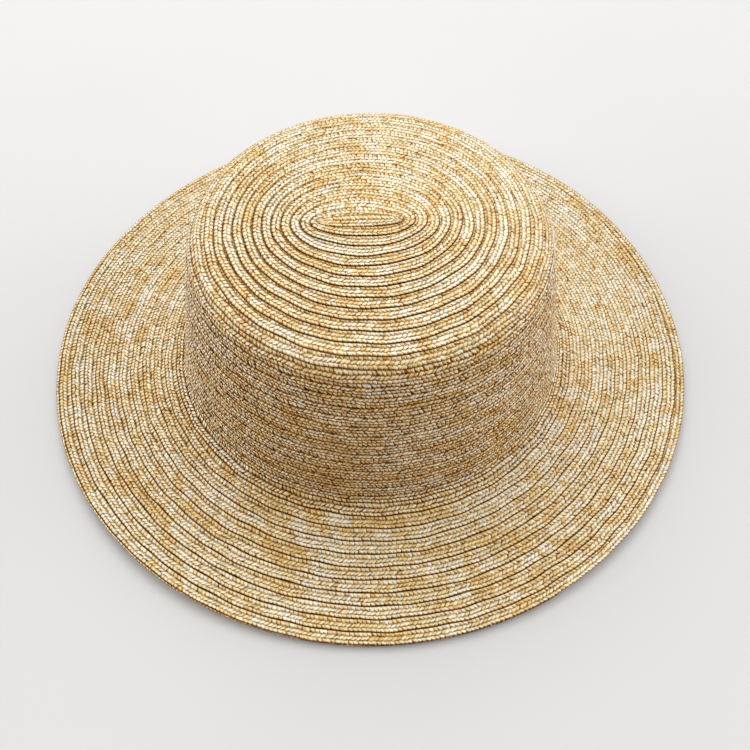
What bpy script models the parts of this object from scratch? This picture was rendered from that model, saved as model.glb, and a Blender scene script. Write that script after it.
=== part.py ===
"""Straw boater hat, sewn in one spiral from a single plait of straw.

The hat stands on its brim with +Z up. Its long way lies along X, the floor is z = 0 and the origin
is under the middle of the crown. Each sewn part is a thin shell lofted through oval rings along one
meridian, which runs from the start of the plait over the tip, down the wall and out to the brim's
edge. Each row of plait rises to its outer edge and steps down to the row that it overlaps.
"""
import math

import bmesh
import bpy
import numpy as np

# Crown
CROWN_LENGTH = 0.189
CROWN_WIDTH = 0.181
CROWN_HEIGHT = 0.0895
CROWN_TAPER = 0.0155
SHOULDER_RADIUS = 0.0125
TIP_DOME = 0.0018
TIP_EDGE_SLOPE = math.radians(7.0)

# Brim
BRIM_WIDTH = 0.0644
BRIM_FALL = math.radians(12.5)
BRIM_RISE = math.radians(11.0)
CREASE_RADIUS = 0.006
REST_RING_WIDTH = 0.012

# Gentle waves of the brim's edge, lifted in turn round the hat by shares of one height
BRIM_WAVE = 0.0024
BRIM_WAVES = (
    # degrees from +X, share of BRIM_WAVE
    (0.0, 0.0),
    (45.0, 1.0),
    (90.0, 0.0),
    (135.0, -0.8),
    (180.0, 0.0),
    (225.0, 0.85),
    (270.0, -0.4),
    (315.0, 0.0),
)

# Folded start of the plait, a short straight strip in the middle of the tip
START_LENGTH = 0.036
START_WIDTH = 0.0066
START_SHIFT = -0.0047

# Plait, as it is sewn
WALL = 0.0014
ROW_STEP = 0.0009
ROW_STEP_RUN = 0.0003
LAP = 0.0016
GAP = 0.0003

# Rows of plait from the start outwards, the brim's last one being its edge row
TIP_ROWS = 13
SIDE_ROWS = 14
BRIM_ROWS = 11

# Fineness of the loft
AROUND = 54
ARC_POINTS = 24
CURVE_POINTS = 80

# Stations under each part, as shares of its run along the meridian
TIP_UNDER_SHARES = (0.0, 0.35, 0.65, 0.86, 1.0)
SIDE_UNDER_SHARES = (0.0, 0.07, 0.5, 0.94, 1.0)
BRIM_UNDER_SHARES = (0.0, 0.12, 0.28)
EDGE_UNDER_SHARES = (0.0, 1.0)

# Straw colours, linear red, green and blue, with roughness
STRAW_LIGHT = (0.66, 0.52, 0.29)
STRAW_WARM = (0.60, 0.45, 0.22)
STRAW_ROUGHNESS = 0.55


def oval_meridian():
    """Return half length, half width, height and shift along the meridian, with its named stations.

    The outer face without its row steps is followed from just inside the plait's start to the
    brim's edge. The run is measured along the front, where half width and height give it.
    """
    lean = math.atan2(CROWN_TAPER, CROWN_HEIGHT - TIP_DOME)
    base_width = CROWN_WIDTH / 2.0
    length_over_width = (CROWN_LENGTH - CROWN_WIDTH) / 2.0

    # Shoulder arc, tangent to the wall and to the domed tip
    arc_z = CROWN_HEIGHT - TIP_DOME - SHOULDER_RADIUS * math.cos(TIP_EDGE_SLOPE)
    arc_y = base_width - (SHOULDER_RADIUS + arc_z * math.sin(lean)) / math.cos(lean)
    dome_y = arc_y + SHOULDER_RADIUS * math.sin(TIP_EDGE_SLOPE)
    turn = np.linspace(math.pi / 2.0 - TIP_EDGE_SLOPE, lean, ARC_POINTS)
    shoulder_y = arc_y + SHOULDER_RADIUS * np.cos(turn)
    shoulder_z = arc_z + SHOULDER_RADIUS * np.sin(turn)

    # Domed tip, from inside the start strip to the shoulder
    start_y = START_WIDTH / 2.0
    dome_run = dome_y - start_y
    dome_power = math.tan(TIP_EDGE_SLOPE) * dome_run / TIP_DOME
    tip_y = np.linspace(start_y - LAP, dome_y, CURVE_POINTS, endpoint=False)
    tip_share = (tip_y - start_y) / dome_run
    tip_z = CROWN_HEIGHT - TIP_DOME * np.maximum(tip_share, 0.0) ** dome_power

    # Crease arc between wall and brim, then the brim, which falls and rises again to its edge
    bend = math.pi / 2.0 - lean - BRIM_FALL
    tangent = CREASE_RADIUS * math.tan(bend / 2.0)
    crease_y = base_width - tangent * math.sin(lean) + CREASE_RADIUS * math.cos(lean)
    crease_z = tangent * math.cos(lean) + CREASE_RADIUS * math.sin(lean)
    turn = np.linspace(lean, math.pi / 2.0 - BRIM_FALL, ARC_POINTS)
    arc_in_y = crease_y - CREASE_RADIUS * np.cos(turn)
    arc_in_z = crease_z - CREASE_RADIUS * np.sin(turn)
    brim_run = BRIM_WIDTH - tangent * math.cos(BRIM_FALL)
    out = np.linspace(0.0, brim_run, CURVE_POINTS)[1:]
    fall = math.tan(BRIM_FALL)
    bow = (fall + math.tan(BRIM_RISE)) / (2.0 * brim_run)
    brim_y = arc_in_y[-1] + out
    brim_z = arc_in_z[-1] - fall * out + bow * out ** 2

    # The wall is straight between its two arcs
    share = np.linspace(0.0, 1.0, CURVE_POINTS)[1:-1]
    wall_y = shoulder_y[-1] + (arc_in_y[0] - shoulder_y[-1]) * share
    wall_z = shoulder_z[-1] + (arc_in_z[0] - shoulder_z[-1]) * share

    half_width = np.concatenate([tip_y, shoulder_y, wall_y, arc_in_y, brim_y])
    height = np.concatenate([tip_z, shoulder_z, wall_z, arc_in_z, brim_z])
    lowest_out = fall / (2.0 * bow)
    lowest_z = arc_in_z[-1] - fall * lowest_out + bow * lowest_out ** 2
    height = height + WALL - lowest_z

    # The long way keeps its lead over the wall and brim, and starts from the strip's own length
    tip_part = np.clip((half_width - start_y) / dome_run, None, 1.0)
    lead_at_start = (START_LENGTH - START_WIDTH) / 2.0
    half_length = half_width + lead_at_start + (length_over_width - lead_at_start) * tip_part
    shift = START_SHIFT * (1.0 - np.clip(tip_part, 0.0, 1.0))

    step = np.hypot(np.diff(half_width), np.diff(height))
    run = np.concatenate([[0.0], np.cumsum(step)]) - LAP
    before_shoulder = len(tip_y)
    before_crease = before_shoulder + len(shoulder_y) + len(wall_y)
    stations = {
        "start": 0.0,
        "shoulder": run[before_shoulder + ARC_POINTS // 2],
        "crease": run[before_crease + ARC_POINTS // 2],
        "lowest": float(np.interp(arc_in_y[-1] + lowest_out, brim_y, run[-len(brim_y):])),
        "edge": run[-1],
    }
    columns = np.stack([half_length, half_width, height, shift])
    return run, columns, np.gradient(columns, run, axis=1), stations


RUN, COLUMNS, SLOPES, STATIONS = oval_meridian()
ANGLES = np.linspace(0.0, 2.0 * math.pi, AROUND, endpoint=False)


def edge_lift(angles):
    """Return how far the brim's edge is lifted at some angles, blended smoothly between waves."""
    places = np.radians([degrees for degrees, _ in BRIM_WAVES])
    shares = np.array([share for _, share in BRIM_WAVES])
    spacing = places[1] - places[0]
    along = angles / spacing
    before = np.floor(along).astype(int)
    blend = (1.0 - np.cos(math.pi * (along - before))) / 2.0
    after = (before + 1) % len(shares)
    return BRIM_WAVE * (shares[before % len(shares)] * (1.0 - blend) + shares[after] * blend)


def ring(station, lift):
    """Return the points of the oval ring at a station, lifted along the surface's normal.

    Outside the ring that the brim rests on, the brim also follows its edge's waves.
    """
    length, width, height, shift = (np.interp(station, RUN, column) for column in COLUMNS)
    d_length, d_width, d_height, d_shift = (np.interp(station, RUN, slope) for slope in SLOPES)
    cos, sin = np.cos(ANGLES), np.sin(ANGLES)
    flat = np.zeros(AROUND)
    place = np.stack([shift + length * cos, width * sin, flat + height], axis=1)
    along = np.stack([d_shift + d_length * cos, d_width * sin, flat + d_height], axis=1)
    around = np.stack([-length * sin, width * cos, flat], axis=1)
    normal = np.cross(along, around)
    normal /= np.linalg.norm(normal, axis=1)[:, None]
    points = place + lift * normal
    outside = max(0.0, (station - STATIONS["lowest"]) / (STATIONS["edge"] - STATIONS["lowest"]))
    points[:, 2] += edge_lift(ANGLES) * outside ** 2
    return points


def row_tops(first, last, rows):
    """Return station and lift of the outer face of a part's rows, each rising to its outer edge."""
    edges = np.linspace(first, last, rows + 1)[1:]
    tops = [(first, -GAP)]
    for edge in edges[:-1]:
        tops.append((edge, ROW_STEP))
        tops.append((edge + ROW_STEP_RUN, 0.0))
    tops.append((last, ROW_STEP))
    return tops


def tongue(first):
    """Return the tucked inner edge of a part, which lies under the lip of the part before it."""
    inner = first - LAP + GAP
    return [(inner, -WALL), (inner, -2.0 * GAP)]


def lip(last):
    """Return the outer edge of a part, which laps over the tongue of the next part."""
    return [(last, 0.0), (last - LAP, 0.0)]


def underside(first, last, shares):
    """Return the stations of a part's inner face, from its outer end back to its inner end."""
    return [(first + (last - first) * share, -WALL) for share in reversed(shares)]


def loft(rings):
    """Return a bmesh that joins rings of points in a closed band, the last ring to the first."""
    shape = bmesh.new()
    loops = [[shape.verts.new(point) for point in points] for points in rings]
    for inner, outer in zip(loops, loops[1:] + loops[:1]):
        for here in range(AROUND):
            after = (here + 1) % AROUND
            shape.faces.new((inner[here], outer[here], outer[after], inner[after]))
    return shape


def straw(name, colour):
    """Return a matt straw material."""
    material = bpy.data.materials.new(name)
    material.use_nodes = True
    shader = material.node_tree.nodes["Principled BSDF"]
    shader.inputs["Base Color"].default_value = (*colour, 1.0)
    shader.inputs["Roughness"].default_value = STRAW_ROUGHNESS
    shader.inputs["Metallic"].default_value = 0.0
    return material


def add_part(collection, name, shape, colour):
    """Add a finished bmesh to the collection as one named object with its own material."""
    bmesh.ops.triangulate(shape, faces=shape.faces[:])
    mesh = bpy.data.meshes.new(name)
    shape.to_mesh(mesh)
    shape.free()
    mesh.materials.append(straw(name + "_straw", colour))
    mesh.shade_smooth()
    mesh.set_sharp_from_angle(angle=math.radians(35.0))
    part = bpy.data.objects.new(name, mesh)
    collection.objects.link(part)
    return part


def start_strip(collection):
    """Build the folded start of the plait, a lens-shaped strip that laps over the first row."""
    inner = STATIONS["start"] - LAP
    under_lip = [ring(STATIONS["start"], 0.0), ring(inner, 0.0), ring(inner, -WALL)]
    shape = bmesh.new()
    loops = []
    for points in [ring(STATIONS["start"], ROW_STEP)] + under_lip:
        loops.append([shape.verts.new(point) for point in points])
    for upper, lower in zip(loops, loops[1:]):
        for here in range(AROUND):
            after = (here + 1) % AROUND
            shape.faces.new((upper[here], lower[here], lower[after], upper[after]))
    shape.faces.new(loops[0])
    shape.faces.new(reversed(loops[-1]))
    return add_part(collection, "start_strip", shape, STRAW_WARM)


def crown_tip(collection):
    """Build the tip, the slightly domed top of the crown, out to the middle of the shoulder."""
    first, last = STATIONS["start"], STATIONS["shoulder"]
    inner, outer = first - LAP + GAP, last - LAP
    section = tongue(first) + row_tops(first, last, TIP_ROWS) + lip(last)
    section += underside(inner, outer, TIP_UNDER_SHARES)[:-1]
    return add_part(collection, "crown_tip", loft([ring(*spot) for spot in section]), STRAW_LIGHT)


def crown_side(collection):
    """Build the side crown, the leaning wall from the shoulder down to the crease."""
    first, last = STATIONS["shoulder"], STATIONS["crease"]
    inner, outer = first - LAP + GAP, last - LAP
    section = tongue(first) + row_tops(first, last, SIDE_ROWS) + lip(last)
    section += underside(inner, outer, SIDE_UNDER_SHARES)[:-1]
    return add_part(collection, "crown_side", loft([ring(*spot) for spot in section]), STRAW_WARM)


def edge_row_start():
    """Return the station where the brim's outermost row of plait begins."""
    return STATIONS["edge"] - (STATIONS["edge"] - STATIONS["crease"]) / BRIM_ROWS


def brim(collection):
    """Build the brim up to its last row but one, with a flat ring underneath that it rests on."""
    first, last = STATIONS["crease"], edge_row_start()
    inner, outer = first - LAP + GAP, last - LAP
    section = tongue(first) + row_tops(first, last, BRIM_ROWS - 1) + lip(last)
    rings = [ring(*spot) for spot in section + [(outer, -WALL)]]
    for side in (0.5, -0.5):
        resting = ring(STATIONS["lowest"] + side * REST_RING_WIDTH, -WALL)
        resting[:, 2] = 0.0
        rings.append(resting)
    for station, lift in underside(inner, outer, BRIM_UNDER_SHARES)[:-1]:
        rings.append(ring(station, lift))
    return add_part(collection, "brim", loft(rings), STRAW_LIGHT)


def edge_row(collection):
    """Build the brim's outermost row of plait, whose outer edge is free."""
    first, last = edge_row_start(), STATIONS["edge"]
    inner = first - LAP + GAP
    section = tongue(first) + row_tops(first, last, 1)
    section += underside(inner, last, EDGE_UNDER_SHARES)[:-1]
    return add_part(collection, "edge_row", loft([ring(*spot) for spot in section]), STRAW_WARM)


def build_hat():
    """Clear the scene and build every sewn part of the hat in one collection."""
    for old in list(bpy.data.objects):
        bpy.data.objects.remove(old, do_unlink=True)
    collection = bpy.data.collections.new("straw_boater_hat")
    bpy.context.scene.collection.children.link(collection)
    for build in (start_strip, crown_tip, crown_side, brim, edge_row):
        build(collection)


build_hat()
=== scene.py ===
"""Straw boater hat, dressed: one long plait of split straw, wound and sewn over the hat's form.

The plait has three columns of splints that slant by turns forwards and back, like a herringbone, and
lie over each other outwards, like scales. It starts as a short folded strip in the middle of the
tip, winds round it, runs down the side crown and out over the brim, and each row laps over the row
outside it. Every splint is a small closed piece of straw with its own colour.
"""

import logging
import math
from dataclasses import dataclass
from enum import Enum
from functools import cached_property
from typing import Protocol

import bmesh
import bpy
import numpy as np
from mathutils import Matrix, Vector


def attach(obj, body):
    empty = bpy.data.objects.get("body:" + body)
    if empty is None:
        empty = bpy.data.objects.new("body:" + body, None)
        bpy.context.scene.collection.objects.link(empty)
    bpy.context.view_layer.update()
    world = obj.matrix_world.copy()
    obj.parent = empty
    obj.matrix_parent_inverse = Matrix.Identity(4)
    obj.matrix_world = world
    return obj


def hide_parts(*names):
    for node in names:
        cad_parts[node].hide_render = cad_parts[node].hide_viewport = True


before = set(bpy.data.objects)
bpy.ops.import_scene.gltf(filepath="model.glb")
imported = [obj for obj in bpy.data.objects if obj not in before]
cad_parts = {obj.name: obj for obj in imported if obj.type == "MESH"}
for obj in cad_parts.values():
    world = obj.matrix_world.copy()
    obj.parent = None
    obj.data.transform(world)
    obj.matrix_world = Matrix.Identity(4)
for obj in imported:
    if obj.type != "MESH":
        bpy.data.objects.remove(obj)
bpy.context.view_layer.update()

BODY = "root"
MM = 0.001
SPLINT_UV = "StrawUV"
BAKE_UV = "OFBake"
UPPER_MARK = "straw_upper"
POINT_MARKS = (
    "straw_tone", "straw_bright", "straw_seed", "straw_hole", "straw_past_lap", "straw_to_edge",
    "straw_loose",
)
SIDES = 2

Colour = tuple[float, float, float]

log = logging.getLogger("straw_boater")


def smooth(share: np.ndarray) -> np.ndarray:
    """Return shares clipped to 0..1 and eased at both ends."""
    held = np.clip(share, 0.0, 1.0)
    return held * held * (3.0 - 2.0 * held)


def passed(turn: np.ndarray, span: tuple[float, float]) -> np.ndarray:
    """Return the eased share of a span, given as its start and its length, that turns have passed."""
    return smooth((turn - span[0]) / span[1])


@dataclass(frozen=True)
class HatForm:
    """The oval form that the plait is sewn over, as one meridian and the ovals along it.

    A station is a run along the meridian, measured on the front of the outer face: zero at the edge
    of the folded start, growing over the tip, down the wall and out to the brim's edge.
    """

    crown_length: float = 189 * MM
    crown_width: float = 181 * MM
    crown_height: float = 89.5 * MM
    crown_taper: float = 15.5 * MM
    shoulder_radius: float = 12.5 * MM
    tip_dome: float = 1.8 * MM
    tip_edge_slope: float = math.radians(7.0)
    brim_width: float = 64.4 * MM
    brim_fall: float = math.radians(12.5)
    brim_rise: float = math.radians(11.0)
    crease_radius: float = 6 * MM
    start_length: float = 36 * MM
    start_width: float = 6.6 * MM
    start_shift: float = -4.7 * MM
    wall: float = 1.4 * MM
    brim_wave: float = 2.4 * MM
    wave_shares: tuple[float, ...] = (0.0, 1.0, 0.0, -0.8, 0.0, 0.85, -0.4, 0.0)
    arc_points: int = 24
    curve_points: int = 80
    first_half_width: float = 0.02 * MM

    @cached_property
    def lean(self) -> float:
        """Return the wall's lean away from upright, in radians."""
        return math.atan2(self.crown_taper, self.crown_height - self.tip_dome)

    @cached_property
    def shoulder_centre(self) -> tuple[float, float]:
        """Find the centre of the shoulder's arc.

        Returns:
            Its half width and its height.
        """
        rise = self.shoulder_radius * math.cos(self.tip_edge_slope)
        height = self.crown_height - self.tip_dome - rise
        inset = (self.shoulder_radius + height * math.sin(self.lean)) / math.cos(self.lean)
        return self.crown_width / 2.0 - inset, height

    def tip_line(self) -> np.ndarray:
        """Draw the domed tip, from the middle out to the shoulder.

        Returns:
            A row of half widths and a row of heights.
        """
        centre = self.shoulder_centre
        edge = centre[0] + self.shoulder_radius * math.sin(self.tip_edge_slope)
        run = edge - self.start_width / 2.0
        power = math.tan(self.tip_edge_slope) * run / self.tip_dome
        half_width = np.linspace(self.first_half_width, edge, self.curve_points, endpoint=False)
        share = np.maximum((half_width - self.start_width / 2.0) / run, 0.0)
        return np.stack([half_width, self.crown_height - self.tip_dome * share ** power])

    def shoulder_line(self) -> np.ndarray:
        """Draw the shoulder's arc.

        Returns:
            A row of half widths and a row of heights.
        """
        turn = np.linspace(math.pi / 2.0 - self.tip_edge_slope, self.lean, self.arc_points)
        centre = np.array(self.shoulder_centre)[:, None]
        return centre + self.shoulder_radius * np.stack([np.cos(turn), np.sin(turn)])

    @cached_property
    def crease_tangent(self) -> float:
        """Return how far the crease's arc reaches from the corner between wall and brim."""
        bend = math.pi / 2.0 - self.lean - self.brim_fall
        return self.crease_radius * math.tan(bend / 2.0)

    def crease_line(self) -> np.ndarray:
        """Draw the arc between wall and brim.

        Returns:
            A row of half widths and a row of heights.
        """
        tangent = self.crease_tangent
        out = self.crown_width / 2.0 - tangent * math.sin(self.lean)
        centre = np.array([
            [out + self.crease_radius * math.cos(self.lean)],
            [tangent * math.cos(self.lean) + self.crease_radius * math.sin(self.lean)],
        ])
        turn = np.linspace(self.lean, math.pi / 2.0 - self.brim_fall, self.arc_points)
        return centre - self.crease_radius * np.stack([np.cos(turn), np.sin(turn)])

    def wall_line(self) -> np.ndarray:
        """Draw the straight wall, down from the one arc to the other.

        Returns:
            A row of half widths and a row of heights.
        """
        above, below = self.shoulder_line()[:, -1:], self.crease_line()[:, :1]
        share = np.linspace(0.0, 1.0, self.curve_points)[1:-1]
        return above + (below - above) * share

    def brim_line(self) -> np.ndarray:
        """Draw the brim, which falls and rises again to its edge.

        Returns:
            A row of half widths and a row of heights.
        """
        start = self.crease_line()[:, -1:]
        run = self.brim_width - self.crease_tangent * math.cos(self.brim_fall)
        out = np.linspace(0.0, run, self.curve_points)[1:]
        fall = math.tan(self.brim_fall)
        bow = (fall + math.tan(self.brim_rise)) / (2.0 * run)
        return start + np.stack([out, bow * out ** 2 - fall * out])

    @cached_property
    def meridian(self) -> tuple[np.ndarray, np.ndarray, np.ndarray, dict[str, float]]:
        """Work out the meridian.

        Returns:
            The run, the columns (half length, half width, height, shift), their slopes, and the
            named stations.
        """
        stretches = [self.tip_line(), self.shoulder_line(), self.wall_line(), self.crease_line(),
                     self.brim_line()]
        half_width, height = np.concatenate(stretches, axis=1)
        step = np.hypot(np.diff(half_width), np.diff(height))
        run = np.concatenate([[0.0], np.cumsum(step)]) + half_width[0] - self.start_width / 2.0
        lowest = np.argmin(height)
        height = height + self.wall - height[lowest]
        before = np.cumsum([line.shape[1] for line in stretches])
        stations = {
            "start": 0.0,
            "shoulder": float(run[before[0] + self.arc_points // 2]),
            "crease": float(run[before[2] + self.arc_points // 2]),
            "lowest": float(run[lowest]),
            "edge": float(run[-1]),
        }
        start_half = self.start_width / 2.0
        reach = (half_width - start_half) / (half_width[before[0]] - start_half)
        lead_at_start = (self.start_length - self.start_width) / 2.0
        lead = (self.crown_length - self.crown_width) / 2.0
        half_length = half_width + lead_at_start + (lead - lead_at_start) * np.clip(reach, None, 1.0)
        shift = self.start_shift * (1.0 - np.clip(reach, 0.0, 1.0))
        columns = np.stack([half_length, half_width, height, shift])
        return run, columns, np.gradient(columns, run, axis=1), stations

    @cached_property
    def rest_rise(self) -> float:
        """Return how far the form is raised so that its brim rests on the floor."""
        return float(self.meridian[1][2, 0]) - self.crown_height

    def station(self, name: str) -> float:
        """Return a named station."""
        return self.meridian[3][name]

    def edge_lift(self, angle: np.ndarray) -> np.ndarray:
        """Blend the lift of the brim's edge between its waves.

        Args:
            angle: oval angles, in radians.

        Returns:
            How far the edge is lifted at each angle.
        """
        shares = np.array(self.wave_shares)
        along = angle / (2.0 * math.pi) * len(shares)
        before = np.floor(along).astype(int)
        blend = (1.0 - np.cos(math.pi * (along - before))) / 2.0
        here, after = shares[before % len(shares)], shares[(before + 1) % len(shares)]
        return self.brim_wave * (here * (1.0 - blend) + after * blend)

    def point(self, station: np.ndarray, angle: np.ndarray, lift: np.ndarray) -> np.ndarray:
        """Place points on the form.

        Args:
            station: run along the meridian, in metres.
            angle: oval angle from +X, counter-clockwise from above, in radians.
            lift: distance outwards along the surface's normal, in metres.

        Returns:
            An array of points, one row each.
        """
        run, columns, slopes, _ = self.meridian
        length, width, height, shift = (np.interp(station, run, column) for column in columns)
        d_length, d_width, d_height, d_shift = (np.interp(station, run, slope) for slope in slopes)
        cos, sin = np.cos(angle), np.sin(angle)
        place = np.stack([shift + length * cos, width * sin, height], axis=-1)
        along = np.stack([d_shift + d_length * cos, d_width * sin, d_height], axis=-1)
        around = np.stack([-length * sin, width * cos, np.zeros_like(cos)], axis=-1)
        normal = np.cross(along, around)
        normal /= np.linalg.norm(normal, axis=-1, keepdims=True)
        points = place + lift[..., None] * normal
        lowest, edge = self.station("lowest"), self.station("edge")
        outside = np.clip((station - lowest) / (edge - lowest), 0.0, None)
        points[..., 2] += self.edge_lift(angle) * outside ** 2
        return points


@dataclass(frozen=True)
class PlaitSizes:
    """The plait itself, as it was braided and as it is sewn."""

    width: float = 7.2 * MM
    pitch: float = 1.9 * MM
    thickness: float = 0.09 * MM
    meetings: tuple[float, float] = (0.47, 0.74)
    slant: float = 0.55
    tucked_lift: float = -0.88 * MM
    seen_lift: float = -0.34 * MM
    edge_lift: float = 0.1 * MM


class Course(Protocol):
    """A way that plait takes: it turns a place on the plait into a point in space."""

    def lay(self, along: np.ndarray, across: np.ndarray, lift: np.ndarray) -> np.ndarray:
        """Return points for lengths along, shares across and lifts off the plait's middle."""

    def past_lap(self, along: np.ndarray, across: np.ndarray) -> np.ndarray:
        """Return how far each place lies outside the edge that laps over it, in millimetres."""

    def looseness(self, along: np.ndarray) -> np.ndarray:
        """Return how loose the plait is, from 0 where it is pressed flat to 1."""


@dataclass(frozen=True)
class SpiralCourse:
    """The plait's way round and round the form, from the folded start to the brim's edge.

    A turn is a count of times round. The plait's outer edge lies one row further out each turn,
    and the last turn tapers in under the row before it, which keeps the brim's outline oval. Each
    wave of its wandering has a size and a length in millimetres and a phase. A span is a start and a
    length in turns, and the spans of the end's bulge and of the calm there count from the last row.
    """

    form: HatForm
    plait: PlaitSizes
    tip_rows: int = 13
    side_rows: int = 14
    brim_rows: int = 11
    end_turn: float = 39.08
    start_angle: float = math.radians(-90.0)
    steps_a_turn: int = 240
    innermost: float = -3.1 * MM
    end_bulge: float = 0.5 * MM
    bulge_span: tuple[float, float] = (0.3, 0.5)
    wander_span: tuple[float, float] = (0.4, 1.0)
    calm_span: tuple[float, float] = (-0.9, 0.6)
    calm_share: float = 0.55
    side_fullness: float = 2.4
    loosening_turns: float = 2.0
    rise_power: float = 1.15
    least_lap: float = 0.05
    most_lap: float = 0.98
    wander: tuple[tuple[float, float, float], ...] = (
        (0.16, 17.3, 0.4),
        (0.17, 31.7, 2.1),
        (0.15, 53.9, 4.4),
    )

    @cached_property
    def rows(self) -> int:
        """Return how many rows show from the folded start to the brim's edge."""
        return self.tip_rows + self.side_rows + self.brim_rows

    def row_station(self, row: np.ndarray) -> np.ndarray:
        """Find the stations of rows' outer edges.

        Args:
            row: counts of rows from the folded start.

        Returns:
            The station of each row's outer edge.
        """
        ends = np.cumsum([0, self.tip_rows, self.side_rows, self.brim_rows])
        names = ("start", "shoulder", "crease", "edge")
        return np.interp(row, ends, [self.form.station(name) for name in names])

    @cached_property
    def turns(self) -> np.ndarray:
        """Return the turns at which the course is tabled."""
        return np.linspace(0.0, self.end_turn, int(self.end_turn * self.steps_a_turn) + 1)

    @cached_property
    def middle_station(self) -> np.ndarray:
        """Return the station of the shown plait's middle at each tabled turn, half a row in."""
        return self.row_station(np.minimum(self.turns, self.rows) - 0.5)

    @cached_property
    def lengths(self) -> np.ndarray:
        """Measure the plait along its middle.

        Returns:
            The length of plait used up to each tabled turn.
        """
        flat = np.zeros_like(self.turns)
        middle = self.form.point(self.middle_station, self.angle(self.turns), flat)
        steps = np.linalg.norm(np.diff(middle, axis=0), axis=1)
        return np.concatenate([[0.0], np.cumsum(steps)])

    @cached_property
    def spread(self) -> np.ndarray:
        """Measure how many stations the plait's width takes.

        Returns:
            The stretch of stations at each tabled turn.
        """
        angle, flat = self.angle(self.turns), np.zeros_like(self.turns)
        inner = self.form.point(self.middle_station - MM, angle, flat)
        outer = self.form.point(self.middle_station + MM, angle, flat)
        return self.plait.width * 2.0 * MM / np.linalg.norm(outer - inner, axis=1)

    def angle(self, turn: np.ndarray) -> np.ndarray:
        """Return the oval angle of a turn."""
        return self.start_angle + 2.0 * math.pi * turn

    def turn_at(self, length: np.ndarray) -> np.ndarray:
        """Return the turn that a length of plait reaches."""
        return np.interp(length, self.lengths, self.turns)

    def length_at(self, turn: np.ndarray | float) -> np.ndarray:
        """Return the length of plait that is used up to a turn."""
        return np.interp(turn, self.turns, self.lengths)

    def outer_station(self, turn: np.ndarray) -> np.ndarray:
        """Find the plait's outer edge, with its small wandering.

        Args:
            turn: turns along the course.

        Returns:
            The station of the edge at each turn.
        """
        length = self.length_at(turn)
        wander = sum(
            size * MM * np.sin(2.0 * math.pi * length / (wave * MM) + phase)
            for size, wave, phase in self.wander
        )
        ending = passed(turn - self.rows, self.bulge_span)
        calm = self.calm_share * passed(turn - self.rows, self.calm_span)
        free = passed(turn, self.wander_span) * (1.0 - calm)
        return self.row_station(np.minimum(turn, self.rows)) + wander * free + self.end_bulge * ending

    def bounds_at(self, along: np.ndarray) -> tuple[np.ndarray, np.ndarray, np.ndarray]:
        """Return turn, outer station and spread for lengths along the plait."""
        turn = self.turn_at(along)
        return turn, self.outer_station(turn), np.interp(turn, self.turns, self.spread)

    def lay(self, along: np.ndarray, across: np.ndarray, lift: np.ndarray) -> np.ndarray:
        """Lay places on the plait over the form.

        Args:
            along: lengths along the plait.
            across: shares across it, from its inner edge to its outer edge.
            lift: heights off its middle.

        Returns:
            A point for each place.
        """
        turn, outer, spread = self.bounds_at(along)
        station = outer - (1.0 - across) * spread
        seen = self.seen_from(turn, outer, spread)
        plait = self.plait
        rise = np.clip((across - seen) / (1.0 - seen), 0.0, 1.0) ** self.rise_power
        edge = plait.edge_lift + (plait.tucked_lift - plait.edge_lift) * smooth(turn - self.rows)
        middle = plait.seen_lift + (edge - plait.seen_lift) * rise
        sunk = np.clip((seen - across) / np.maximum(seen, self.least_lap), 0.0, 1.0)
        middle += (plait.tucked_lift - plait.seen_lift) * sunk
        held = np.maximum(station, self.innermost)
        fuller = 1.0 + self.side_fullness * self.looseness(along)
        return self.form.point(held, self.angle(turn), middle + lift * fuller)

    def looseness(self, along: np.ndarray) -> np.ndarray:
        """Tell how loose the plait is, which is pressed flat on the tip and the brim.

        Args:
            along: lengths along the plait.

        Returns:
            The looseness at each length, from 0 where it is pressed flat to 1 on the side crown.
        """
        turn = self.turn_at(along)
        below_tip = smooth((turn - self.tip_rows) / self.loosening_turns)
        on_brim = smooth((turn - self.tip_rows - self.side_rows) / self.loosening_turns)
        return below_tip * (1.0 - on_brim)

    def seen_from(self, turn: np.ndarray, outer: np.ndarray, spread: np.ndarray) -> np.ndarray:
        """Find where the plait comes out from under the row before it.

        Args:
            turn: turns along the course.
            outer: the station of the outer edge at each turn.
            spread: the stretch of stations that the plait's width takes there.

        Returns:
            The share across the plait from which it shows.
        """
        before = self.outer_station(turn - 1.0)
        before = np.where(turn < 1.0, self.form.station("start"), before)
        return np.clip(1.0 - (outer - before) / spread, 0.0, self.most_lap)

    def past_lap(self, along: np.ndarray, across: np.ndarray) -> np.ndarray:
        """Return how far each place lies outside the edge that laps over it, in millimetres."""
        seen = self.seen_from(*self.bounds_at(along))
        return (across - seen) * self.plait.width / MM


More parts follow.
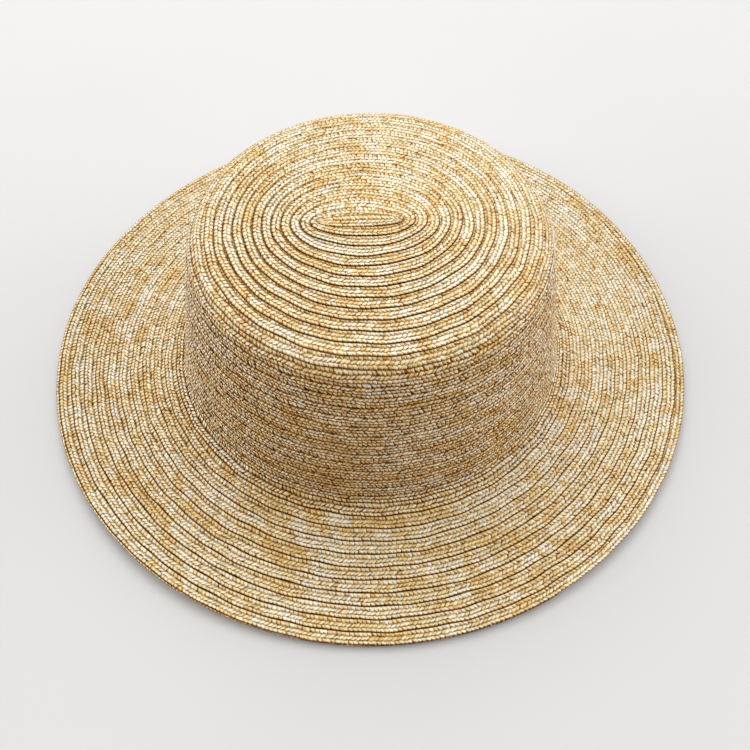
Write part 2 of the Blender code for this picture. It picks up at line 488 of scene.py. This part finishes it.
@dataclass(frozen=True)
class StripCourse:
    """The folded start of the plait, a straight lens-shaped strip in the middle of the tip."""

    form: HatForm
    plait: PlaitSizes
    overhang: float = 0.3 * MM
    tip_share: float = 0.985
    edge_drop: float = 0.25 * MM
    end_thickness: float = 0.35

    @property
    def length(self) -> float:
        """Return the strip's whole length."""
        return self.form.start_length + 2.0 * self.overhang

    def lay(self, along: np.ndarray, across: np.ndarray, lift: np.ndarray) -> np.ndarray:
        """Lay places on the plait along the strip.

        Args:
            along: lengths along the plait.
            across: shares across it.
            lift: heights off its middle.

        Returns:
            A point for each place.
        """
        share = np.clip(2.0 * along / self.length - 1.0, -1.0, 1.0) * self.tip_share
        lens = np.sqrt(1.0 - share ** 2)
        half_width = (self.form.start_width / 2.0 + self.overhang) * lens
        side = 2.0 * across - 1.0
        top = self.form.crown_height + self.form.rest_rise
        thickness = self.end_thickness + (1.0 - self.end_thickness) * lens
        raised = self.plait.edge_lift - self.edge_drop * side ** 2 + lift * thickness
        long_place = self.form.start_shift + share * self.length / 2.0
        return np.stack([long_place, -side * half_width, top + raised], axis=-1)

    def past_lap(self, along: np.ndarray, across: np.ndarray) -> np.ndarray:
        """Return the plait's width everywhere, because nothing laps over the strip."""
        return np.full_like(along, self.plait.width / MM)

    def looseness(self, along: np.ndarray) -> np.ndarray:
        """Return 0 everywhere, because the strip is pressed flat."""
        return np.zeros_like(along)


@dataclass(frozen=True)
class Splint:
    """One column's splint of straw where it shows, from its tucked root out to its rounded tip.

    Across, 0 is the plait's inner edge and 1 its outer edge.
    """

    root: float
    tip: float
    lead: float
    slant: float
    # Share of splints that get a painted shade standing for a dark hole at the root
    hole_shade_share: float = 0.0
    tip_round: float = 0.45
    faces_across: int = 3
    faces_along: int = 2
    spare: float = 1.36
    squareness: float = 0.6
    side_fall: int = 3
    end_fall: int = 4

    @cached_property
    def mesh(self) -> tuple[np.ndarray, np.ndarray, np.ndarray]:
        """Model the splint as a closed pillow on a square from -1 to 1, flat underneath.

        Returns:
            The corners (across the splint, along it, thickness share), the faces' corners, and for
            each face whether it is on the upper side.
        """
        shape = bmesh.new()
        bmesh.ops.create_grid(
            shape, x_segments=self.faces_across, y_segments=self.faces_along, size=1.0
        )
        for corner in shape.verts:
            wide, long = (
                math.copysign(abs(place) ** self.squareness, place) for place in corner.co[:2]
            )
            bulge = (1.0 - abs(wide) ** self.side_fall) * (1.0 - abs(long) ** self.end_fall)
            corner.co = (wide, long, bulge)
        rim = [edge for edge in shape.edges if edge.is_boundary]
        underside = bmesh.ops.holes_fill(shape, edges=rim)["faces"]
        shape.normal_update()
        bmesh.ops.reverse_faces(shape, faces=[face for face in underside if face.normal.z > 0.0])
        bmesh.ops.poke(shape, faces=underside)
        bmesh.ops.triangulate(shape, faces=shape.faces[:])
        shape.normal_update()
        shape.verts.index_update()
        points = np.array([corner.co[:] for corner in shape.verts])
        faces = np.array([[corner.index for corner in face.verts] for face in shape.faces])
        upper = np.array([int(face.normal.z > 0.0) for face in shape.faces])
        shape.free()
        # Laid on a course, the splint's own axes are left-handed, so its faces are turned round
        return points, faces[:, ::-1], upper


@dataclass(frozen=True)
class SplintTones:
    """How the straw's colour changes from splint to splint, from golden (0) to cream (1).

    Stretches of plait are golden, cream or mixed, and in most of them the splints alternate. A
    stretch is a mean number of splints and how far its tone may differ.
    """

    seed: int = 11
    level: float = 0.5
    long_stretch: tuple[float, float] = (9.0, 0.24)
    shared_stretch: tuple[float, float] = (3.5, 0.50)
    own_stretch: tuple[float, float] = (1.8, 0.46)
    alternate: float = 0.10
    unevenness: float = 0.12
    bright_play: float = 0.07
    bright_range: tuple[float, float] = (0.8, 1.2)
    length_shape: float = 1.6
    tone_shape: float = 0.6
    shortest: float = 0.5
    spare_draws: int = 8

    def stretches(
        self, chance: np.random.Generator, count: int, stretch: tuple[float, float]
    ) -> np.ndarray:
        """Draw one level of stretches.

        Args:
            chance: where they are drawn from.
            count: how many splints there are.
            stretch: the mean number of splints in one, and how far its tone may differ.

        Returns:
            What the level adds to each splint's tone.
        """
        splints, size = stretch
        shape = self.length_shape
        lengths = chance.gamma(shape, splints / shape, count + self.spare_draws) + self.shortest
        ends = np.cumsum(lengths)
        tone = chance.beta(self.tone_shape, self.tone_shape, len(ends)) - 0.5
        return size * tone[np.searchsorted(ends, np.arange(count))]

    def draw(self, count: int, column: int) -> tuple[np.ndarray, np.ndarray]:
        """Draw the colours of a run of splints.

        Args:
            count: how many splints the run has.
            column: which column of the plait they are in.

        Returns:
            The tone and the brightness of each splint.
        """
        shared = np.random.default_rng(self.seed)
        own = np.random.default_rng(self.seed + 1 + column)
        tone = self.level + self.stretches(shared, count, self.long_stretch)
        tone += self.stretches(shared, count, self.shared_stretch)
        tone += self.stretches(own, count, self.own_stretch)
        tone += self.alternate * np.where((np.arange(count) + column) % 2, 1.0, -1.0)
        tone += own.normal(0.0, self.unevenness, count)
        bright = 1.0 + own.normal(0.0, self.bright_play, count)
        return np.clip(tone, 0.0, 1.0), np.clip(bright, *self.bright_range)


@dataclass
class PlaitWork:
    """Lays splints along a course and joins them into pieces."""

    plait: PlaitSizes
    finish: bpy.types.Material
    overlap: float = 0.05
    place_play: float = 0.09
    width_play: float = 0.08
    reach_play: float = 0.03
    lift_play: float = 0.02 * MM
    tilt_play: float = 0.02 * MM
    side_lean: float = 0.05 * MM
    tip_lean: float = 0.04 * MM
    tip_narrowing: float = 0.15
    narrowing_power: int = 3
    flat_share: float = 0.42
    # Painted hole shade: the shares of middle and outer splints that get it, and how sharply it sets
    # in
    middle_hole_shade: float = 0.35
    outer_hole_shade: float = 0.45
    outer_round: float = 0.16
    hole_shade_contrast: float = 8.0
    first_seed: int = 7
    cell_margin: float = 0.04

    def splints(self) -> tuple[Splint, ...]:
        """Work out the columns of splints.

        They slant by turns forwards and back, and the tips of one column lie over the roots of the
        next, half a pitch apart.

        Returns:
            The splint of each column, from the plait's inner edge to its folded outer edge.
        """
        first, second = self.plait.meetings
        slanting = self.plait.slant * self.plait.width
        inner_slant = (first + self.overlap) * slanting
        middle_slant = (second - first + 2.0 * self.overlap) * slanting
        outer_slant = (1.0 - second + self.overlap) * slanting
        half_pitch = self.plait.pitch / 2.0
        middle_lead = (inner_slant - middle_slant) / 2.0 + half_pitch
        outer_lead = middle_lead + (outer_slant - middle_slant) / 2.0 + half_pitch
        middle_root, outer_root = first - self.overlap, second - self.overlap
        return (
            Splint(0.0, first + self.overlap, 0.0, inner_slant),
            Splint(middle_root, second + self.overlap, middle_lead, -middle_slant, self.middle_hole_shade),
            Splint(outer_root, 1.0, outer_lead, outer_slant, self.outer_hole_shade, self.outer_round),
        )

    def place(
        self, splint: Splint, course: Course, middles: np.ndarray, chance: np.random.Generator
    ) -> tuple[np.ndarray, np.ndarray]:
        """Place one column of splints.

        Args:
            splint: the splint to repeat.
            course: the way that the plait takes.
            middles: the lengths along the plait at which the splints' middles lie.
            chance: where the small unevenness is drawn from.

        Returns:
            The points, and for each how far it lies past the lapping edge and from the plait's own
            outer edge and how loose the plait is there, splint after splint.
        """
        shape = splint.mesh[0]
        wide, long, bulge = (shape[None, :, axis] for axis in range(3))
        tip_end = np.maximum(long, 0.0)
        rounded = long - splint.tip_round * tip_end * wide ** 2

        def play(size: float) -> np.ndarray:
            """Draw one small unevenness for each splint."""
            return chance.normal(0.0, size, (len(middles), 1))

        half_width = self.plait.pitch / 2.0 * splint.spare * (1.0 + play(self.width_play))
        along = middles[:, None] + play(self.place_play) * self.plait.pitch
        along = along + rounded * splint.slant / 2.0
        narrowing = self.tip_narrowing * tip_end ** self.narrowing_power
        along = along + wide * half_width * (1.0 - narrowing)
        across = (splint.root + splint.tip + rounded * (splint.tip - splint.root)) / 2.0
        across = across + play(self.reach_play) * tip_end * (splint.tip < 1.0)
        lift = (bulge - self.flat_share) * self.plait.thickness + play(self.lift_play)
        lift = lift + wide * (self.side_lean + play(self.tilt_play))
        lift = lift + long * (self.tip_lean + play(self.tilt_play))
        along, across, lift = along.ravel(), across.ravel(), lift.ravel()
        to_edge = (1.0 - across) * self.plait.width / MM
        places = np.stack([course.past_lap(along, across), to_edge, course.looseness(along)])
        return course.lay(along, across, lift), places

    def weave(
        self, name: str, course: Course, span: tuple[float, float], tones: SplintTones
    ) -> bpy.types.Object:
        """Weave one stretch of plait into a single piece.

        Args:
            name: the piece's name.
            course: the way that the plait takes.
            span: the lengths along the plait where the stretch starts and ends.
            tones: the colours of the splints.

        Returns:
            The finished piece, which rides on the hat's body.
        """
        first, last = (int(round(length / self.plait.pitch)) for length in span)
        count = last - first
        chance = np.random.default_rng(first + self.first_seed)
        columns = self.splints()
        points, faces, marks, squares, cells, tops = [], [], [], [], [], []
        start = 0
        for column, splint in enumerate(columns):
            shape, corners, upper = splint.mesh
            middles = np.arange(first, last) * self.plait.pitch + splint.lead
            placed, edges = self.place(splint, course, middles, chance)
            tone, bright = (drawn[first:] for drawn in tones.draw(last, column))
            # Some splints get a painted shade that stands for a dark hole where they come out from
            # under others
            hole_shade = (splint.hole_shade_share - chance.uniform(0.0, 1.0, count)) * self.hole_shade_contrast
            hole_shade = np.clip(hole_shade, 0.0, 1.0)
            seed = chance.uniform(0.0, 1.0, count)
            own = np.repeat(np.stack([tone, bright, seed, hole_shade]), len(shape), axis=1)
            marks.append(np.concatenate([own, edges]))
            points.append(placed)
            offsets = start + len(shape) * np.arange(count)
            faces.append((corners[None] + offsets[:, None, None]).reshape(-1, 3))
            squares.append(np.tile(shape[corners][..., :2], (count, 1, 1)))
            first_cell = SIDES * (column * count + np.arange(count))
            cells.append((first_cell[:, None] + upper[None]).ravel())
            tops.append(np.tile(upper == 1, count))
            start += len(placed)
        mesh = bpy.data.meshes.new(name)
        mesh.from_pydata(np.concatenate(points).tolist(), [], np.concatenate(faces).tolist())
        self.mark(mesh, np.concatenate(marks, axis=1), np.concatenate(tops))
        cell_count = SIDES * len(columns) * count
        self.map_faces(mesh, np.concatenate(squares), np.concatenate(cells), cell_count)
        mesh.materials.append(self.finish)
        piece = bpy.data.objects.new(name, mesh)
        bpy.context.scene.collection.objects.link(piece)
        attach(piece, BODY)
        return piece

    def mark(self, mesh: bpy.types.Mesh, marks: np.ndarray, tops: np.ndarray) -> None:
        """Write the splints' own numbers to the mesh, and smooth the splints' tops.

        Their undersides stay flat, so that the tops' edges aren't shaded as if they turned under.

        Args:
            mesh: the piece's mesh.
            marks: for each of the point marks, a number for each point.
            tops: for each face, whether it is on top of its splint.
        """
        for name, values in zip(POINT_MARKS, marks):
            layer = mesh.attributes.new(name, "FLOAT", "POINT")
            layer.data.foreach_set("value", values.astype(np.float32))
        layer = mesh.attributes.new(UPPER_MARK, "FLOAT", "FACE")
        layer.data.foreach_set("value", tops.astype(np.float32))
        mesh.polygons.foreach_set("use_smooth", tops)

    def map_faces(
        self, mesh: bpy.types.Mesh, squares: np.ndarray, cells: np.ndarray, count: int
    ) -> None:
        """Give the mesh its two UV maps.

        Args:
            mesh: the piece's mesh.
            squares: places of the faces' corners on their own splint, from -1 to 1.
            cells: which cell of the bake map each face belongs to.
            count: how many cells there are.
        """
        own = mesh.uv_layers.new(name=SPLINT_UV)
        own.uv.foreach_set("vector", ((squares + 1.0) / 2.0).astype(np.float32).ravel())
        columns = math.ceil(math.sqrt(count))
        rows = math.ceil(count / columns)
        corner = np.stack([cells % columns, cells // columns], axis=-1)[:, None, :]
        inside = 0.5 + squares * (0.5 - self.cell_margin)
        atlas = (corner + inside) / np.array([columns, rows])
        bake = mesh.uv_layers.new(name=BAKE_UV)
        bake.uv.foreach_set("vector", atlas.astype(np.float32).ravel())
        own.active = True


class Wire:
    """A node's output, on which Python's own signs add Math nodes."""

    def __init__(self, sheet: "NodeSheet", socket: bpy.types.NodeSocket) -> None:
        """Hold an output socket of a sheet of nodes."""
        self.sheet = sheet
        self.socket = socket

    def math(self, operation: str, *values: "Wire | float") -> "Wire":
        """Return the result of one Math node on this value and others."""
        inputs = dict(enumerate((self, *values)))
        return self.sheet.node("ShaderNodeMath", {"operation": operation}, inputs)

    def __add__(self, other: "Wire | float") -> "Wire":
        """Return the sum."""
        return self.math("ADD", other)

    __radd__ = __add__

    def __sub__(self, other: "Wire | float") -> "Wire":
        """Return the difference."""
        return self.math("SUBTRACT", other)

    def __rsub__(self, other: float) -> "Wire":
        """Return the difference from a number."""
        return (self * -1.0) + other

    def __mul__(self, other: "Wire | float") -> "Wire":
        """Return the product."""
        return self.math("MULTIPLY", other)

    __rmul__ = __mul__

    def __truediv__(self, other: "Wire | float") -> "Wire":
        """Return the quotient."""
        return self.math("DIVIDE", other)

    def __pow__(self, power: float) -> "Wire":
        """Return the value raised to a power."""
        return self.math("POWER", power)

    def __abs__(self) -> "Wire":
        """Return the absolute value."""
        return self.math("ABSOLUTE")

    def most(self, other: "Wire | float") -> "Wire":
        """Return the larger of two values."""
        return self.math("MAXIMUM", other)

    def least(self, other: "Wire | float") -> "Wire":
        """Return the smaller of two values."""
        return self.math("MINIMUM", other)

    def fade(self, reach: "Wire | float") -> "Wire":
        """Return 1 where the value is 0, falling to 0 where it is as large as the reach."""
        return (1.0 - self / reach).most(0.0)

    def axis(self, name: str) -> "Wire":
        """Return one axis of a vector."""
        return self.sheet.node("ShaderNodeSeparateXYZ", values={0: self}, output=name)


class NodeSheet:
    """The nodes of a material or of the surroundings, with one method that adds any node."""

    def __init__(self, owner: bpy.types.Material | bpy.types.World, shader: str) -> None:
        """Switch on the owner's nodes and take the shader among them.

        Args:
            owner: the material or the surroundings.
            shader: the name of the shader's node.
        """
        owner.use_nodes = True
        self.tree = owner.node_tree
        self.shader = self.tree.nodes[shader]

    def node(
        self, kind: str, settings: dict | None = None, values: dict | None = None,
        output: int | str = 0,
    ) -> Wire:
        """Add a node.

        Args:
            kind: the node's type.
            settings: its own settings, set first; "stops" holds a ramp's places and colours.
            values: numbers, colours or wires for its sockets, by name or number.
            output: which output to return.

        Returns:
            A wire from the chosen output.
        """
        made = self.tree.nodes.new(kind)
        for key, value in (settings or {}).items():
            if key == "stops":
                self.set_stops(made, value)
            else:
                setattr(made, key, value)
        for key, value in (values or {}).items():
            self.feed(made.inputs[key], value)
        return Wire(self, made.outputs[output])

    def set_stops(self, ramp: bpy.types.Node, stops: tuple[tuple[float, Colour], ...]) -> None:
        """Set the stops of a colour ramp.

        Args:
            ramp: the ramp's node.
            stops: the place and the colour of each stop.
        """
        elements = ramp.color_ramp.elements
        while len(elements) < len(stops):
            elements.new(0.5)
        for element, (place, colour) in zip(elements, stops):
            element.position = place
            element.color = (*colour, 1.0)

    def feed(self, socket: bpy.types.NodeSocket, value: "Wire | float | tuple") -> None:
        """Link a wire to a socket, or set the socket's own value.

        Args:
            socket: the socket to feed.
            value: a wire, a number or a colour.
        """
        if isinstance(value, Wire):
            self.tree.links.new(value.socket, socket)
        elif isinstance(value, tuple) and socket.type == "RGBA" and len(value) == 3:
            socket.default_value = (*value, 1.0)
        else:
            socket.default_value = value

    def attribute(self, name: str) -> Wire:
        """Return one of the mesh's own numbers."""
        return self.node("ShaderNodeAttribute", {"attribute_name": name}, output="Fac")

    def noise(self, place: tuple[Wire, Wire, Wire], detail: float, roughness: float) -> Wire:
        """Add a noise.

        Args:
            place: the three numbers of the place where it is read.
            detail: how many finer layers it has.
            roughness: how strong those are.

        Returns:
            The noise, from 0 to 1.
        """
        vector = self.node("ShaderNodeCombineXYZ", values=dict(enumerate(place)))
        values = {"Vector": vector, "Scale": 1.0, "Detail": detail, "Roughness": roughness}
        return self.node("ShaderNodeTexNoise", values=values)

    def mix(self, share: Wire | float, first: Wire | Colour, second: Wire | Colour,
            blend: str = "MIX") -> Wire:
        """Return a mix of two colours."""
        settings = {"data_type": "RGBA", "blend_type": blend}
        return self.node("ShaderNodeMix", settings, {0: share, 6: first, 7: second}, output=2)

    def dress(self, values: dict) -> None:
        """Feed the shader's sockets."""
        for key, value in values.items():
            self.feed(self.shader.inputs[key], value)


@dataclass(frozen=True)
class StrawFinish:
    """Split straw: golden to cream, fine fibres along each splint, with painted shade where it tucks
    under.
    """

    golden: Colour = (0.58, 0.405, 0.145)
    straw: Colour = (0.67, 0.585, 0.37)
    cream: Colour = (0.71, 0.69, 0.61)
    # Painted shade: the colours that the straw is multiplied by, from no shade to the deepest
    shade_tints: tuple[tuple[float, Colour], ...] = (
        (0.0, (1.0, 1.0, 1.0)),
        (0.3, (0.84, 0.62, 0.28)),
        (0.65, (0.62, 0.32, 0.06)),
        (1.0, (0.38, 0.13, 0.01)),
    )
    # Colour of the painted shadow line along the seams and of the painted hole shade
    seam_and_hole_shade: Colour = (0.075, 0.019, 0.001)
    # Strengths and reaches of the painted shade and of the painted shadow line
    side_shade_strength: float = 0.85
    root_shade_strength: float = 0.8
    tip_shade_strength: float = 0.40
    lap_shade_strength: float = 0.25
    edge_shade_strength: float = 0.50
    seam_and_hole_shade_strength: float = 0.96
    seam_shadow_width: float = 0.34
    lap_shade_width: float = 0.80
    edge_shade_width: float = 0.45
    side_shade_reach: float = 0.44
    root_shade_reach: float = 0.30
    tip_shade_reach: float = 0.14
    hole_shade_reach: float = 0.46
    hole_shade_side: float = 1.3
    hole_shade_strength: float = 1.2
    seam_shadow_power: float = 0.35
    least_depth: float = 0.35
    golden_depth: float = 1.2
    cream_relief: float = 0.4
    loose_depth: float = 1.6
    cloud_play: float = 0.35
    fibre_play: float = 0.25
    fibre_dark: float = 0.90
    fibre_contrast: float = 0.20
    roughness: float = 0.45
    rough_play: float = 0.2
    specular: float = 0.12
    gloss: float = 0.9
    gloss_roughness: float = 0.4
    clouds_across: float = 1.7
    clouds_along: float = 1.4
    fibres_across: float = 8.0
    fibre_length: float = 1.1
    fibre_relief: float = 0.05 * MM
    relief_strength: float = 0.5
    seed_steps: tuple[float, float] = (71.0, 37.0)

    def material(self) -> bpy.types.Material:
        """Build the straw's material.

        Returns:
            The material, which reads each splint's own map and the piece's marks.
        """
        material = bpy.data.materials.new("split_straw")
        sheet = NodeSheet(material, "Principled BSDF")
        tone, bright, seed, hole_shade, past_lap, to_edge, loose = map(sheet.attribute, POINT_MARKS)
        upper = sheet.attribute(UPPER_MARK)
        own = sheet.node("ShaderNodeUVMap", {"uv_map": SPLINT_UV})
        # Seen from below, a splint is tucked in at its other side and its other end
        turned = 1.0 - upper
        across, along = abs(own.axis("X") - turned), abs(own.axis("Y") - turned)

        # Fibres run along the splint, with a slower drift of colour under them
        fibre_seed, cloud_seed = (seed * step for step in self.seed_steps)
        grain = (across * self.fibres_across, along * self.fibre_length, fibre_seed)
        fibres = sheet.noise(grain, detail=2.0, roughness=0.6)
        drift = (across * self.clouds_across, along * self.clouds_along, cloud_seed)
        clouds = sheet.noise(drift, detail=1.0, roughness=0.5)

        # Painted shade, browning as it darkens, falls on each splint on one side, at its root, where
        # it comes out from under others, at its tip, outside the row that laps over and at the
        # plait's own edge
        # Painted shade is deeper where the plait is loose on the side crown and on golden splints,
        # and it varies from splint to splint
        deeper = 1.0 + loose * self.loose_depth
        depth = (self.least_depth + seed) * (self.golden_depth - tone * self.cream_relief) * deeper
        side = across.fade(self.side_shade_reach) * depth * self.side_shade_strength
        root = along.fade(self.root_shade_reach) * depth * self.root_shade_strength
        tip = (1.0 - along).fade(deeper * self.tip_shade_reach) * self.tip_shade_strength * deeper
        lap_shade = past_lap.fade(self.lap_shade_width).least(1.0) * self.lap_shade_strength * upper
        edge = to_edge.fade(self.edge_shade_width) * self.edge_shade_strength
        tuck_shade = (side + root + tip + lap_shade + edge).least(1.0)
        shade_tint = sheet.node("ShaderNodeValToRGB", {"stops": self.shade_tints}, {0: tuck_shade})

        # A painted shadow line runs just outside the row that laps over, where the seam lies in
        # shade, and here and there painted shade stands for a dark hole in the corner between splints
        gap_shade = along.fade(self.hole_shade_reach) * (self.hole_shade_side - across).least(1.0) * hole_shade * deeper
        line = past_lap.fade(self.seam_shadow_width) ** self.seam_shadow_power * upper
        dark = (line + gap_shade * self.hole_shade_strength).least(1.0)

        shown = tone + (clouds - 0.5) * self.cloud_play + (fibres - 0.5) * self.fibre_play
        stops = ((0.0, self.golden), (0.5, self.straw), (1.0, self.cream))
        colour = sheet.node("ShaderNodeValToRGB", {"stops": stops}, {0: shown})
        light = bright * (self.fibre_dark + fibres * self.fibre_contrast)
        scaling = {0: colour, "Scale": light}
        lit = sheet.node("ShaderNodeVectorMath", {"operation": "SCALE"}, scaling)
        # The straw's own colour, multiplied by the painted shade
        tuck_shaded = sheet.mix(1.0, lit, shade_tint, "MULTIPLY")
        shaded = sheet.mix(dark * self.seam_and_hole_shade_strength, tuck_shaded, self.seam_and_hole_shade)

        bump = sheet.node("ShaderNodeBump", values={
            "Strength": self.relief_strength, "Distance": self.fibre_relief, "Height": fibres,
        })
        sheet.dress({
            "Base Color": shaded,
            "Roughness": self.roughness + (fibres - 0.5 + tuck_shade + dark) * self.rough_play,
            "Normal": bump,
            "Specular IOR Level": self.specular,
            "Coat Weight": (1.0 - tuck_shade) * (1.0 - dark) * self.gloss,
            "Coat Roughness": self.gloss_roughness,
        })
        return material


@dataclass(frozen=True)
class FloorFinish:
    """A plain pale floor, very slightly mottled."""

    pale: Colour = (0.495, 0.495, 0.495)
    paler: Colour = (0.52, 0.52, 0.52)
    cloud_scale: float = 7.0
    roughness: float = 0.85

    def material(self) -> bpy.types.Material:
        """Build the floor's material.

        Returns:
            The material.
        """
        material = bpy.data.materials.new("pale_floor")
        sheet = NodeSheet(material, "Principled BSDF")
        place = sheet.node("ShaderNodeTexCoord", output="Object")
        values = {"Vector": place, "Scale": self.cloud_scale}
        clouds = sheet.node("ShaderNodeTexNoise", values=values)
        colour = sheet.mix(clouds, self.pale, self.paler)
        sheet.dress({"Base Color": colour, "Roughness": self.roughness})
        return material


class Stretch(Enum):
    """The stretches of the spiral plait: first turn, last turn and the CAD node that it dresses."""

    TIP_INNER = (0.0, 8.5, "crown_tip")
    TIP_OUTER = (8.5, 13.2, "crown_tip")
    SIDE_UPPER = (13.2, 18.0, "crown_side")
    SIDE_MIDDLE = (18.0, 22.6, "crown_side")
    SIDE_LOWER = (22.6, 27.2, "crown_side")
    BRIM_INNER = (27.2, 30.8, "brim")
    BRIM_MIDDLE = (30.8, 34.1, "brim")
    BRIM_OUTER = (34.1, 37.0, "brim")
    EDGE_ROW = (37.0, 39.08, "edge_row")


@dataclass(frozen=True)
class StrawHat:
    """The hat: the folded start and the spiral plait over the form."""

    form: HatForm = HatForm()
    plait: PlaitSizes = PlaitSizes()
    finish: StrawFinish = StrawFinish()
    strip_tones: SplintTones = SplintTones(seed=3)
    spiral_tones: SplintTones = SplintTones(seed=11)

    def build(self) -> list[bpy.types.Object]:
        """Build and dress every stretch of the plait.

        Returns:
            The finished pieces.
        """
        work = PlaitWork(self.plait, self.finish.material())
        strip = StripCourse(self.form, self.plait)
        start = work.weave("start_strip_plait", strip, (0.0, strip.length), self.strip_tones)
        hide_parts("start_strip")
        pieces = [start]
        spiral = SpiralCourse(self.form, self.plait)
        for stretch in Stretch:
            first, last, node = stretch.value
            span = (spiral.length_at(first), spiral.length_at(last))
            piece = work.weave(stretch.name.lower() + "_plait", spiral, span, self.spiral_tones)
            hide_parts(node)
            pieces.append(piece)
        return pieces


@dataclass(frozen=True)
class SoftLight:
    """A large soft light that is aimed at the hat."""

    name: str
    place: tuple[float, float, float]
    size: tuple[float, float]
    power: float
    colour: Colour = (0.98, 0.99, 1.0)
    aim: tuple[float, float, float] = (0.0, 0.0, 0.03)

    def hang(self) -> None:
        """Hang the light in its place."""
        data = bpy.data.lights.new(self.name, "AREA")
        data.shape = "RECTANGLE"
        data.size, data.size_y = self.size
        data.energy = self.power
        data.color = self.colour
        light = bpy.data.objects.new(self.name, data)
        light.location = self.place
        way = Vector(self.aim) - Vector(self.place)
        light.rotation_euler = way.to_track_quat("-Z", "Y").to_euler()
        bpy.context.scene.collection.objects.link(light)


@dataclass(frozen=True)
class Studio:
    """A pale floor, soft light from above, beside and behind, and the camera."""

    camera_place: tuple[float, float, float] = (-8.86 * MM, -258.8 * MM, 376.8 * MM)
    camera_pitch: float = math.radians(57.37)
    camera_yaw: float = math.radians(2.44)
    camera_roll: float = math.radians(0.22)
    focal_length: float = 42.27
    sensor: float = 36.0
    nearest: float = 10 * MM
    floor_half: float = 3.0
    ambient: float = 0.78
    front_ambient: float = 0.07
    front_fade: tuple[float, float] = (-0.8, 0.15)
    side_ambient: float = 3.7
    side_power: float = 4.0
    ambient_colour: Colour = (1.0, 1.0, 1.0)
    front_colour: Colour = (1.0, 0.87, 0.72)
    soft_lights: tuple[SoftLight, ...] = (
        SoftLight("overhead_light", (0.05, 0.0, 1.5), (1.6, 1.2), 8.5),
        SoftLight("back_light", (-0.15, 1.15, 1.25), (1.5, 0.9), 15.5),
    )

    def floor(self) -> None:
        """Lay the floor."""
        shape = bmesh.new()
        bmesh.ops.create_grid(shape, x_segments=1, y_segments=1, size=self.floor_half)
        mesh = bpy.data.meshes.new("floor")
        shape.to_mesh(mesh)
        shape.free()
        mesh.materials.append(FloorFinish().material())
        floor = bpy.data.objects.new("floor", mesh)
        bpy.context.scene.collection.objects.link(floor)

    def surroundings(self) -> None:
        """Set surroundings that are bright above, beside and behind the hat and dim in front."""
        world = bpy.data.worlds.new("studio")
        sheet = NodeSheet(world, "Background")
        direction = sheet.node("ShaderNodeTexCoord", output="Generated")
        fade_start, fade_end = self.front_fade
        behind = sheet.node("ShaderNodeMapRange", {"interpolation_type": "SMOOTHSTEP"}, {
            "Value": direction.axis("Y"), "From Min": fade_start, "From Max": fade_end,
        })
        strength = behind * (self.ambient - self.front_ambient) + self.front_ambient
        strength = strength + abs(direction.axis("X")) ** self.side_power * self.side_ambient
        sheet.dress({
            "Color": sheet.mix(behind, self.front_colour, self.ambient_colour),
            "Strength": strength,
        })
        bpy.context.scene.world = world

    def camera(self) -> None:
        """Set the camera, which looks down at the front of the hat."""
        data = bpy.data.cameras.new("camera")
        data.lens = self.focal_length
        data.sensor_width = self.sensor
        data.clip_start = self.nearest
        camera = bpy.data.objects.new("camera", data)
        turn = Matrix.Rotation(-self.camera_yaw, 4, "Z")
        turn = turn @ Matrix.Rotation(math.pi / 2.0 - self.camera_pitch, 4, "X")
        turn = turn @ Matrix.Rotation(self.camera_roll, 4, "Z")
        camera.matrix_world = Matrix.Translation(self.camera_place) @ turn
        bpy.context.scene.collection.objects.link(camera)
        bpy.context.scene.camera = camera

    def build(self) -> None:
        """Build the whole studio."""
        self.floor()
        self.surroundings()
        for light in self.soft_lights:
            light.hang()
        self.camera()
        bpy.context.scene.view_settings.view_transform = "Standard"


def main() -> None:
    """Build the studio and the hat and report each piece."""
    logging.basicConfig(level=logging.INFO, format="%(name)s %(message)s")
    Studio().build()
    for piece in StrawHat().build():
        log.info("%s: %d faces", piece.name, len(piece.data.polygons))


if __name__ == "__main__":
    main()
